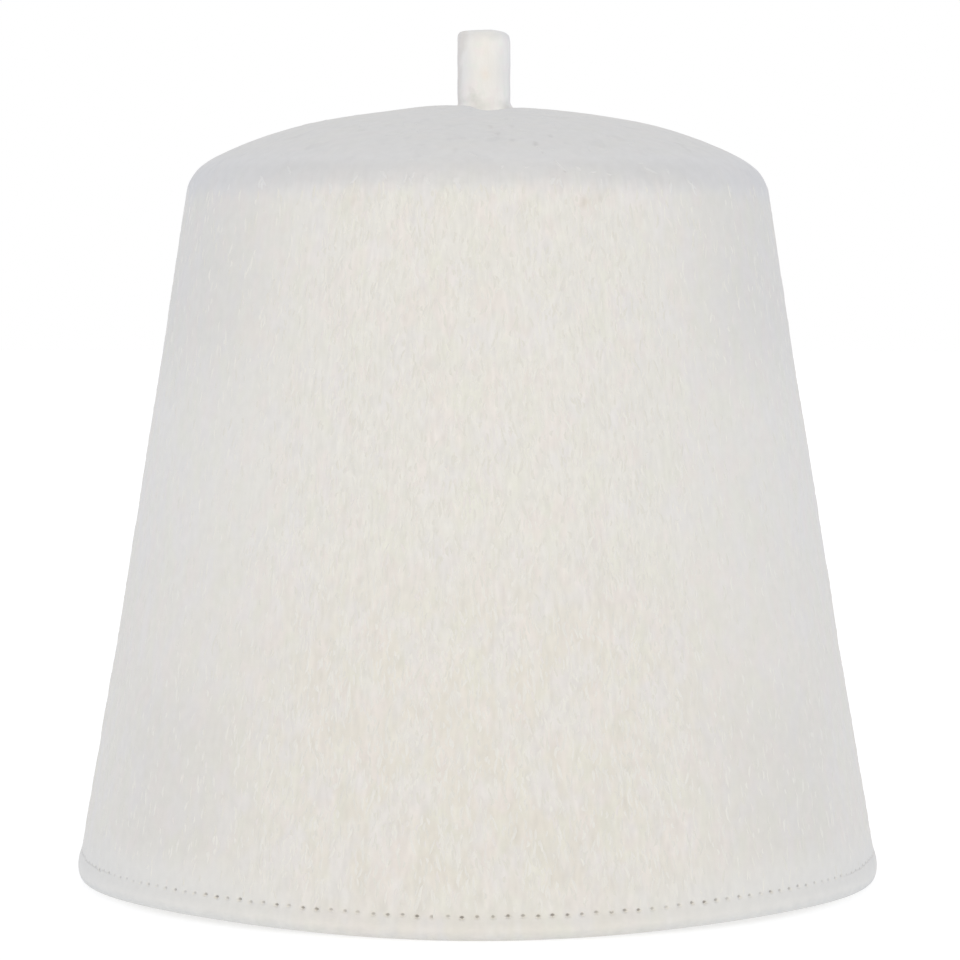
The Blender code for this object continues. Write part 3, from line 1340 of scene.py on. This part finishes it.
@dataclass(frozen=True)
class StalkFelt:
    """The stalk's paler felt: painted shade on its flanks, side edges and top rim, faint pink and green
    tints, and a few small smudges, the last two of them painted shade at its foot.
    """

    base: Colour = (0.925, 0.908, 0.866)
    # painted shade for the flanks, which turn away from the front light
    flank_shade: Colour = (0.903, 0.893, 0.860)
    low: Colour = (0.970, 0.950, 0.915)
    # painted shade for the side edges and the top rim
    side: Colour = (0.770, 0.732, 0.680)
    rim: Colour = (0.800, 0.793, 0.768)
    tints: tuple[Tint, ...] = (
        Tint((0.935, 0.885, 0.865), 3.6 * MM, 0.21),
        Tint((0.890, 0.915, 0.850), 3.6 * MM, 0.57),
    )
    streak_width: float = 1.6 * MM
    streak_length: float = 4.0
    streak_strength: float = 0.10
    relief_depth: float = 0.12 * MM
    front: float = -6.0 * MM
    smudges: tuple[Smudge, ...] = (
        Smudge(0.3 * MM, 10.7 * MM, 2.4 * MM, 1.4, 1.8 * MM, 0.42, (0.930, 0.810, 0.700)),
        Smudge(0.1 * MM, 4.8 * MM, 3.2 * MM, 1.5, 2.4 * MM, 0.30, (0.940, 0.860, 0.810)),
        Smudge(-2.5 * MM, 16.4 * MM, 2.3 * MM, 1.0, 4.6 * MM, 0.42, (0.640, 0.650, 0.590)),
        # The next two are painted shade where the stalk's foot meets the crown.
        Smudge(-1.5 * MM, 19.0 * MM, 2.2 * MM, 0.7, 1.2 * MM, 0.40, (0.700, 0.700, 0.670)),
        Smudge(6.0 * MM, 18.6 * MM, 2.9 * MM, 1.0, 1.2 * MM, 0.75, (0.620, 0.630, 0.580)),
    )

    def dress(self, piece: bpy.types.Object, stalk: "Stalk") -> None:
        """Gives the stalk its felt.

        Args:
            piece: the stalk's mesh.
            stalk: its sizes.
        """
        finish = Finish("pale_stalk_felt", 0.95)
        graph = finish.graph
        place = finish.place()
        x, y, z = graph.separate(place)
        across = x - stalk.offset
        mottle = graph.noise(place, 2.2 * MM, 3.0)
        # painted shade on the flanks, which turn away from the front light
        flank_shade = graph.span(abs(across), mm(1.5, 4.5))
        colour = graph.mix(flank_shade, self.base, self.flank_shade)
        low = graph.span(z, stalk.below_top(10.0, 17.0))
        colour = graph.mix(low, colour, self.low)
        for tint in self.tints:
            colour = tint.laid_on(colour, place, 0.68, 0.6)
        for smudge in self.smudges:
            middle = (stalk.offset + smudge.across, self.front, stalk.top - smudge.below)
            ragged = (mottle - 0.5) * smudge.ragged
            share = graph.spot(place, middle, smudge.reach, ragged, (smudge.narrow, 0.5, 0.85))
            colour = graph.mix(share * smudge.strength, colour, smudge.colour)
        # painted shade round the top rim, where the stalk turns up away from the front light
        rim = graph.span(z + (mottle - 0.5) * (1.6 * MM), stalk.below_top(3.4, 0.6))
        colour = graph.mix(rim * 0.9, colour, self.rim)
        # painted shade on the side edges, more on the left
        soft = across + (mottle - 0.5) * (1.2 * MM)
        wider = graph.span(z, stalk.below_top(8.0, 2.0)) * (-1.3 * MM)
        edges = graph.span(soft + wider, mm(-4.6, -6.4)) * 0.75 + graph.span(soft, mm(5.2, 6.8)) * 0.35
        colour = graph.mix(graph.math("MINIMUM", edges, 0.85), colour, self.side)
        streaked = graph.combine(x, y, z / self.streak_length)
        streak = graph.noise(streaked, self.streak_width)
        finish.colour(graph.shaded(colour, (streak - 0.5) * self.streak_strength + 1.0))
        grain = graph.noise(place, 0.35 * MM)
        finish.relief(streak * 0.4 + grain * 0.3 + mottle * 0.4, self.relief_depth)
        finish.put_on(piece)


@dataclass
class Stalk:
    """The short felt stub that is sewn to the crown, a little to one side of its middle."""

    section: FeltSection = field(default_factory=FeltSection)
    dip: CrownDip = field(default_factory=CrownDip)
    felt: StalkFelt = field(default_factory=StalkFelt)
    radius: float = 6.4 * MM
    top: float = 204.66 * MM
    offset: float = 1.30 * MM
    top_radius: float = 1.2 * MM
    flare: float = 0.8 * MM
    flare_height: float = 1.8 * MM
    seat_depth: float = 0.25 * MM
    columns: int = 72
    step: float = 0.55 * MM
    slant: float = 0.03
    corner_cut: Span = mm(-0.35, -0.65)
    flare_uneven: Span = mm(-0.30, 0.15)
    flare_curve: float = 2.4

    def below_top(self, *distances: float) -> Span:
        """Heights that lie so many millimetres below the stalk's top."""
        return tuple(self.top - distance * MM for distance in distances)

    def outline(self) -> list[SectionPoint]:
        """The section from the middle of the top, down the side and under the foot to the axis.

        Returns:
            The points in order.
        """
        rim = SectionPoint(self.radius - self.top_radius, self.top, 90.0)
        face = [SectionPoint(share * rim.radius, self.top, 90.0) for share in np.linspace(0.0, 1.0, 9)]
        rounding = rim.arc(self.top_radius, 0.0, self.top_radius * math.pi / 2, self.step / 2)
        foot_radius = self.radius + self.flare
        foot = self.section.height_at(foot_radius) - self.seat_depth
        flare_top = foot + self.flare_height
        rows = math.ceil((rounding[-1].height - flare_top) / self.step)
        heights = np.linspace(rounding[-1].height, flare_top, rows + 1)[1:]
        side = [SectionPoint(self.radius, float(height), 0.0) for height in heights]
        flare = []
        for share in np.linspace(0.0, 1.0, 7)[1:]:
            spread = self.flare * share**self.flare_curve
            flare.append(SectionPoint(self.radius + spread, flare_top - self.flare_height * share, 0.0))
        under = [SectionPoint(foot_radius * share, foot, -90.0) for share in (0.66, 0.33, 0.0)]
        return [*face, *rounding, *side, *flare, *under]

    def build(self) -> bpy.types.Object:
        """Models the stalk, seats it on the crown and dresses it.

        Returns:
            The finished piece.
        """
        stalk = turned("stalk_surface", self.outline(), self.columns)
        self.shape(stalk)
        self.felt.dress(stalk, self)
        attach(stalk, "root")
        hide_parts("stalk")
        return stalk

    def shape(self, stalk: bpy.types.Object) -> None:
        """Softens the turned stalk: a slanted top, one rounder corner and a foot that follows the crown.

        Args:
            stalk: the turned stalk, still on the axis.
        """
        graph, geometry = Graph.for_geometry("stalk_shape")
        at = graph.bearings(graph.given("Position"))
        near_top = graph.span(at.z, self.below_top(3.4, 0.0))
        corner = graph.remap(at.x, 1.5 * MM, self.radius) * near_top
        near_foot = graph.span(at.z, self.below_top(16.2, 18.2))
        spread = near_foot * near_foot * graph.remap(at.x, -self.radius, self.radius, *self.flare_uneven)
        set_down = self.dip.height(graph, at.x + self.offset, at.y)
        set_down = set_down * graph.span(at.z, self.below_top(12.0, 18.0))
        lumps = graph.wobble(at.place, 5.0 * MM, 0.35 * MM) + graph.wobble(at.place, 1.6 * MM, 0.10 * MM)
        lumps = lumps * graph.span(at.z, self.below_top(18.2, 17.0))
        across = corner * self.corner_cut[0] + at.sine * spread + self.offset
        up = corner * self.corner_cut[1] + at.x * self.slant * near_top + set_down
        moved = graph.vector("ADD", at.place, graph.combine(across, at.cosine * spread * -1.0, up))
        moved = graph.vector("ADD", moved, graph.scaled(graph.given("Normal"), lumps))
        apply_nodes(stalk, graph, graph.moved(geometry, moved))


@dataclass(frozen=True)
class Thread:
    """The soft cream sewing thread."""

    colour: Colour = (0.82, 0.80, 0.755)
    aged: Colour = (0.78, 0.74, 0.66)
    ply: float = 0.5 * MM
    relief_depth: float = 0.05 * MM

    def dress(self, piece: bpy.types.Object) -> None:
        """Gives a piece the thread's look.

        Args:
            piece: the stitching.
        """
        finish = Finish("cream_sewing_thread", 0.8)
        graph = finish.graph
        place = finish.place()
        fibre = graph.noise(place, self.ply / 3, 3.0)
        colour = graph.mix(graph.noise(place, 9.0 * MM, 1.0) * 0.5, self.colour, self.aged)
        finish.colour(graph.shaded(colour, (fibre - 0.5) * 0.2 + 1.0))
        finish.relief(fibre, self.relief_depth)
        finish.put_on(piece)


@dataclass(frozen=True)
class StitchRow:
    """One side's row of stitches: where the stitched felt lies and which way it faces."""

    name: str
    radius: float
    elevation: float


@dataclass
class HemStitching:
    """The row of short sunk stitches round the hem, outside and on the turned-in lap."""

    line: StitchLine = field(default_factory=StitchLine)
    thread: Thread = field(default_factory=Thread)
    outside: StitchRow = StitchRow("hem_stitches_outside", 96.25 * MM, 16.0)
    inside: StitchRow = StitchRow("hem_stitches_inside", 91.33 * MM, -170.0)
    thickness: float = 0.28 * MM
    sides: int = 6
    steps: int = 8
    length: float = 3.1 * MM
    arch: float = 0.45 * MM
    knuckle: float = 0.24 * MM
    knee: Span = (0.50, 0.72, 0.78, 0.90)
    sink: float = -0.60 * MM
    twist: float = 25.0

    def stitch(self) -> bpy.types.Object:
        """Models one stitch along X, arched up along Z, with its ends sunk.

        Returns:
            The stitch, at the start of its row.
        """
        deselect_all()
        radius = self.thickness / 2
        start = (-self.length / 2, 0.0, self.sink)
        bpy.ops.mesh.primitive_circle_add(
            vertices=self.sides, radius=radius, fill_type="NGON", calc_uvs=False, location=start,
            rotation=(0.0, math.pi / 2, 0.0)
        )
        stitch = bpy.context.object
        bpy.ops.object.transform_apply(location=True, rotation=True, scale=True)
        bpy.ops.object.mode_set(mode="EDIT")
        bpy.ops.mesh.select_all(action="SELECT")
        last = self.sink
        for count in range(1, self.steps + 1):
            share = count / self.steps
            height = self.sink + self.arch * (1.0 - (2.0 * share - 1.0) ** 4)
            step = (self.length / self.steps, 0.0, height - last)
            bpy.ops.mesh.extrude_region_move(TRANSFORM_OT_translate={"value": step})
            middle = (self.length * (share - 0.5), 0.0, height)
            bpy.ops.transform.rotate(value=math.radians(self.twist), orient_axis="X", center_override=middle)
            last = height
        bpy.ops.mesh.select_all(action="SELECT")
        bpy.ops.mesh.normals_make_consistent(inside=False)
        bpy.ops.object.mode_set(mode="OBJECT")
        bpy.ops.object.shade_smooth()
        return stitch

    def build(self) -> list[bpy.types.Object]:
        """Models both rows and dresses them.

        Returns:
            The two pieces.
        """
        rows = []
        for row in (self.outside, self.inside):
            piece = self.stitch()
            piece.name = row.name
            piece.data.name = row.name
            pitch = math.tau * row.radius / self.line.count
            array = piece.modifiers.new("Round the hem", "ARRAY")
            array.count = self.line.count
            array.use_relative_offset = False
            array.use_constant_offset = True
            array.constant_offset_displace = (pitch, 0.0, 0.0)
            only(piece)
            bpy.ops.object.modifier_apply(modifier=array.name)
            self.wrap(piece, row, pitch)
            self.thread.dress(piece)
            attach(piece, "root")
            rows.append(piece)
        return rows

    def wrap(self, piece: bpy.types.Object, row: StitchRow, pitch: float) -> None:
        """Lays a straight row of stitches along the hem's line of holes.

        Args:
            piece: the straight row along X.
            row: where it goes.
            pitch: the distance from one stitch to the next.
        """
        graph, geometry = Graph.for_geometry("stitch_wrap")
        x, y, z = graph.separate(graph.given("Position"))
        share = x / pitch + 0.5
        nearest = graph.math("ROUND", share)
        offset = share - nearest
        number = graph.math("FLOORED_MODULO", nearest, float(self.line.count))
        weight = graph.math("MAXIMUM", abs(offset) * -2.0 + 1.0, 0.0)
        slip, climb = self.line.slips(graph, number)
        turn = (share * pitch + slip * weight) / row.radius
        sine = graph.math("SINE", turn)
        cosine = graph.math("COSINE", turn)
        end = number + offset / abs(offset) * 0.25
        knee = graph.span(weight, self.knee) * graph.chance(end, Draw.KNUCKLE)
        z = z + knee * self.knuckle
        slope = math.radians(row.elevation)
        out = z * math.cos(slope) - y * math.sin(slope) * math.copysign(1.0, math.cos(slope))
        rise = z * math.sin(slope) + y * abs(math.cos(slope)) + climb * weight
        radius = out + row.radius
        height = self.line.height(sine * sine, cosine * cosine) + rise
        moved = graph.combine(radius * sine, radius * cosine * -1.0, height)
        apply_nodes(piece, graph, graph.moved(geometry, moved))
        only(piece)
        bpy.ops.object.mode_set(mode="EDIT")
        bpy.ops.mesh.select_all(action="SELECT")
        bpy.ops.mesh.normals_make_consistent(inside=False)
        bpy.ops.object.mode_set(mode="OBJECT")


@dataclass(frozen=True)
class FibreWool:
    """The loose fibres' wool, coloured from each lock's own tint."""

    pale: Colour = (0.805, 0.789, 0.739)
    cream: Colour = (0.780, 0.763, 0.714)
    olive: Colour = (0.746, 0.729, 0.673)
    rosy: Colour = (0.782, 0.748, 0.714)
    # painted shade for the locks on the crown
    crown_shade_grey: Colour = (0.758, 0.751, 0.735)

    def finish(self) -> Finish:
        """The finish, which reads nothing but the locks' map.

        Returns:
            The finish.
        """
        finish = Finish("loose_wool_fibres", 0.95)
        graph = finish.graph
        tint, along, _ = graph.separate(graph.take(graph.node("ShaderNodeUVMap", uv_map=BAKE_MAP)))
        on_crown = graph.math("GREATER_THAN", tint, 0.5)
        tint = (tint - on_crown * 0.5) * 2.0
        colour = graph.mix(graph.span(tint, (0.12, 0.42)), self.olive, self.cream)
        colour = graph.mix(graph.span(tint, (0.50, 0.86)), colour, self.pale)
        colour = graph.mix(graph.span(tint, (0.90, 0.94)), colour, self.rosy)
        tip = graph.span(abs(along - 0.5), (0.25, 0.5))
        colour = graph.mix(tip * 0.5, colour, self.cream)
        # locks on the crown take the crown's painted shade
        finish.colour(graph.mix(on_crown, colour, self.crown_shade_grey))
        return finish


@dataclass
class NapFibres:
    """The nap: short flat locks of loose fibre, brushed down the wall and tangled on the crown."""

    cap: bpy.types.Object
    wool: FibreWool = field(default_factory=FibreWool)
    length: float = 3.2 * MM
    width: float = 1.0 * MM
    flatness: float = 0.16
    bends: tuple[float, ...] = (-0.55, -0.28, 0.0, 0.24, 0.50)
    wall_density: float = 3.6e5
    crown_density: float = 0.3e5
    lowest: float = 7.2 * MM
    side_calm: float = 0.22
    stray: float = 28.0
    crown_from: float = 165.5 * MM
    crown_heights: Span = mm(161.0, 169.0)
    tangled_heights: Span = mm(164.0, 172.0)
    hem_clearance: float = 2.0 * MM
    calm_sides: Span = (0.35, 0.75)
    seed: int = 11
    most_points: float = 50000.0
    most_locks: float = 7000.0

    def lock(self, bend: float) -> bpy.types.Object:
        """Models one lock: a thin spindle along X that curves sideways, flat on the felt.

        Args:
            bend: how far its ends curve sideways, as a share of a quarter of its length.

        Returns:
            The lock, at the origin.
        """
        deselect_all()
        bpy.ops.mesh.primitive_cylinder_add(
            vertices=3, radius=self.width / 2, depth=self.length * 0.4, end_fill_type="TRIFAN",
            calc_uvs=False, rotation=(0.0, math.pi / 2, 0.0)
        )
        lock = bpy.context.object
        bpy.ops.object.transform_apply(location=True, rotation=True, scale=True)
        mesh = lock.data
        sideways = bend * self.length / 4
        for side in (-1.0, 1.0):
            for vertex in mesh.vertices:
                off_axis = math.hypot(vertex.co.y, vertex.co.z)
                vertex.select = vertex.co.x * side > 0.0 and off_axis < self.width / 8
            mesh.edges.foreach_set("select", [False] * len(mesh.edges))
            mesh.polygons.foreach_set("select", [False] * len(mesh.polygons))
            bpy.ops.object.mode_set(mode="EDIT")
            bpy.ops.mesh.select_mode(type="VERT")
            bpy.ops.transform.translate(value=(side * self.length * 0.3, 0.0, sideways))
            bpy.ops.object.mode_set(mode="OBJECT")
        bpy.ops.object.mode_set(mode="EDIT")
        bpy.ops.mesh.select_all(action="SELECT")
        bpy.ops.transform.rotate(value=-math.pi / 2, orient_axis="X", center_override=(0.0, 0.0, 0.0))
        bpy.ops.transform.resize(value=(1.0, 1.0, self.flatness), center_override=(0.0, 0.0, 0.0))
        bpy.ops.mesh.normals_make_consistent(inside=False)
        bpy.ops.object.mode_set(mode="OBJECT")
        return lock

    def build(self) -> list[bpy.types.Object]:
        """Scatters the locks over the cap, one piece for each quarter.

        Returns:
            The four pieces.
        """
        locks = [self.lock(bend) for bend in self.bends]
        finish = self.wool.finish()
        pieces = []
        for quarter, name in enumerate(("front_right", "back_right", "back_left", "front_left")):
            deselect_all()
            piece = bpy.data.objects.new(f"nap_{name}", self.cap.data.copy())
            bpy.context.scene.collection.objects.link(piece)
            self.scatter(piece, locks, quarter)
            piece.data.name = piece.name
            finish.put_on(piece)
            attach(piece, "root")
            pieces.append(piece)
        for lock in locks:
            bpy.data.objects.remove(lock)
        return pieces

    def scatter(self, piece: bpy.types.Object, locks: Sequence[bpy.types.Object], quarter: int) -> None:
        """Replaces a copy of the cap by the locks that lie on one quarter of it.

        Args:
            piece: the copy.
            locks: the shapes to pick from.
            quarter: which quarter, counted from the front round by +X.
        """
        graph, geometry = Graph.for_geometry("nap_scatter")
        density = self.density(graph.bearings(graph.given("Position")), graph.given("Normal"), quarter)
        inputs = {"Mesh": geometry, "Density": density, "Seed": self.seed + quarter}
        points = graph.node("GeometryNodeDistributePointsOnFaces", inputs, distribute_method="RANDOM")
        index = graph.given("Index") + quarter * self.most_points
        turn = self.turn(graph, index, graph.take(points, "Normal"))
        size = graph.chance(index, Draw.LOCK_LENGTH)
        width = graph.chance(index, Draw.LOCK_WIDTH) * 0.6 + 0.65
        stretch = graph.combine(size * size * 0.9 + 0.5, width, 1.0)
        pick = graph.math("FLOOR", graph.chance(index, Draw.LOCK_SHAPE) * (len(locks) - 0.01))
        inputs = {"Points": graph.take(points), "Instance": self.shapes(graph, locks), "Pick Instance": True,
                  "Instance Index": pick, "Rotation": turn, "Scale": stretch}
        placed = graph.take(graph.node("GeometryNodeInstanceOnPoints", inputs))
        number = graph.given("Index") + quarter * self.most_locks
        _, _, height = graph.separate(graph.given("Position"))
        on_crown = graph.math("GREATER_THAN", height, self.crown_from)
        shade = graph.chance(number, Draw.LOCK_TINT) * 0.49 + on_crown * 0.505
        tinted = graph.stored(placed, "tint", shade, "INSTANCE")
        real = graph.take(graph.node("GeometryNodeRealizeInstances", {"Geometry": tinted}))
        corner = graph.combine(graph.recalled("tint"), graph.recalled("along"), 0.0)
        apply_nodes(piece, graph, graph.stored(real, BAKE_MAP, corner, "CORNER", "FLOAT2"))

    def density(self, at: Bearings, normal: Wire, quarter: int) -> Wire:
        """How many locks lie on a square metre of the cap at a place.

        Args:
            at: the place round the axis.
            normal: the surface's normal there.
            quarter: the quarter that gets locks.

        Returns:
            The density, which is nothing on the inside and in the other quarters.
        """
        graph = at.graph
        _, _, lifted = graph.separate(normal)
        outwards = graph.vector("DOT_PRODUCT", normal, graph.combine(at.x, at.y, 0.0)) / at.radius
        facing = graph.math("GREATER_THAN", outwards + lifted * 2.0, 0.05)
        right = 1.0 if quarter in (0, 1) else -1.0
        ahead = -1.0 if quarter in (0, 3) else 1.0
        on_side = graph.math("GREATER_THAN", at.x * right, 0.0)
        in_quarter = on_side * graph.math("GREATER_THAN", at.y * ahead, 0.0)
        patch = graph.remap(graph.noise(at.place, 6.0 * MM), 0.3, 0.7, 0.35, 1.5)
        on_wall = graph.remap(at.z, *self.crown_heights, self.wall_density, self.crown_density)
        over_hem = graph.remap(at.z, self.lowest, self.lowest + self.hem_clearance)
        calm = graph.remap(at.away, *self.calm_sides, 1.0, self.side_calm)
        return on_wall * over_hem * patch * calm * facing * in_quarter

    def turn(self, graph: Graph, index: Wire, normal: Wire) -> Wire:
        """How each lock is turned: flat on the felt, brushed down the wall and tangled on the crown.

        Args:
            graph: the tree's writer.
            index: the lock's number.
            normal: the felt's normal under it.

        Returns:
            The rotation.
        """
        _, _, height = graph.separate(graph.given("Position"))
        spread = graph.remap(height, *self.tangled_heights, math.radians(self.stray), math.pi)
        swing = graph.chance(index, Draw.LOCK_SWING) + graph.chance(index, Draw.LOCK_SWING_BACK) - 1.0
        inputs = {"Axis": (0.0, 0.0, 1.0), "Angle": swing * spread}
        yaw = graph.take(graph.node("FunctionNodeAxisAngleToRotation", inputs))
        inputs = {"Primary Axis": normal, "Secondary Axis": (0.0, 0.0, -1.0)}
        kind = "FunctionNodeAxesToRotation"
        flat = graph.take(graph.node(kind, inputs, primary_axis="Z", secondary_axis="X"))
        inputs = {"Rotation": flat, "Rotate By": yaw}
        return graph.take(graph.node("FunctionNodeRotateRotation", inputs, rotation_space="LOCAL"))

    def shapes(self, graph: Graph, locks: Sequence[bpy.types.Object]) -> Wire:
        """The locks to pick from, each with its share of the way along stored on its vertices.

        Args:
            graph: the tree's writer.
            locks: the locks.

        Returns:
            The instances.
        """
        joined = graph.node("GeometryNodeGeometryToInstance")
        for lock in locks:
            shape = graph.node("GeometryNodeObjectInfo", {"Object": lock}, transform_space="ORIGINAL")
            x, _, _ = graph.separate(graph.given("Position"))
            stored = graph.stored(graph.take(shape, "Geometry"), "along", x / self.length + 0.5, "POINT")
            graph.feed(joined.inputs[0], stored)
        return graph.take(joined)


@dataclass
class Studio:
    """The plain pale floor, the soft light and the camera."""

    distance: float = 0.920
    height: float = 0.1469
    pitch: float = 3.160
    yaw: float = 0.029
    roll: float = 0.062
    focal_pixels: float = 3791.1
    picture_width: int = 960
    sensor: float = 36.0
    floor_radius: float = 6.0
    clip: Span = (0.05, 50.0)
    floor_grey: Colour = (0.47, 0.47, 0.47)
    floor_glow: float = 0.645
    side_light: Colour = (0.385, 0.513, 0.870)
    broad_light: Colour = (0.666, 0.498, 0.121)
    narrow_light: Colour = (0.378, 0.310, 0.114)
    overhead_light: Colour = (0.380, 0.275, -0.045)

    def build(self) -> None:
        """Sets up the floor, the light and the camera."""
        self.floor()
        self.light()
        self.camera()

    def floor(self) -> None:
        """Lays a pale floor that reads white and keeps a faint shadow under the hem."""
        deselect_all()
        bpy.ops.mesh.primitive_circle_add(vertices=96, radius=self.floor_radius, fill_type="NGON")
        floor = bpy.context.object
        floor.name = "floor"
        finish = Finish("pale_floor", 0.9)
        finish.colour(self.floor_grey)
        finish.shader.inputs["Emission Color"].default_value = opaque(WHITE)
        finish.shader.inputs["Emission Strength"].default_value = self.floor_glow
        finish.put_on(floor)

    def light(self) -> None:
        """Makes the soft surrounding light, brightest in front and cooler from the sides and above."""
        world = bpy.data.worlds.new("soft_studio")
        bpy.context.scene.world = world
        world.use_nodes = True
        graph = Graph(world.node_tree)
        ground = world.node_tree.nodes["Background"]
        way = graph.take(graph.node("ShaderNodeTexCoord"), "Generated")
        _, y, z = graph.separate(way)
        ahead = y * y
        lobe = graph.scaled(graph.combine(*self.broad_light), ahead)
        beam = graph.scaled(graph.combine(*self.narrow_light), ahead * ahead)
        overhead = graph.scaled(graph.combine(*self.overhead_light), graph.math("MAXIMUM", z, 0.0))
        colour = graph.vector("ADD", graph.vector("ADD", lobe, beam), overhead)
        colour = graph.vector("ADD", colour, self.side_light)
        seen = graph.take(graph.node("ShaderNodeLightPath"), "Is Camera Ray")
        graph.feed(ground.inputs["Color"], graph.mix(seen, colour, WHITE))
        ground.inputs["Strength"].default_value = 1.0

    def camera(self) -> None:
        """Sets the camera at the photograph's angle to the standing cap."""
        data = bpy.data.cameras.new("camera")
        data.sensor_width = self.sensor
        data.lens = self.focal_pixels / self.picture_width * self.sensor
        data.clip_start, data.clip_end = self.clip
        camera = bpy.data.objects.new("camera", data)
        bpy.context.scene.collection.objects.link(camera)
        camera.location = (0.0, -self.distance, self.height)
        turn = Matrix.Rotation(math.radians(-self.yaw), 3, "Z")
        tip = Matrix.Rotation(math.radians(90.0 - self.pitch), 3, "X")
        spin = Matrix.Rotation(math.radians(self.roll), 3, "Z")
        camera.rotation_euler = (turn @ tip @ spin).to_euler()
        bpy.context.scene.camera = camera
        bpy.context.scene.view_settings.view_transform = "Standard"


def main() -> None:
    """Builds the pieces in order and reports each."""
    logging.basicConfig(level=logging.INFO, format="%(name)s: %(message)s")
    cap = FeltCap().build()
    pieces = [cap, Stalk().build(), *HemStitching().build(), *NapFibres(cap).build()]
    for piece in pieces:
        LOG.info("%s: %d triangles", piece.name, triangles(piece))
    Studio().build()


if __name__ == "__main__":
    main()
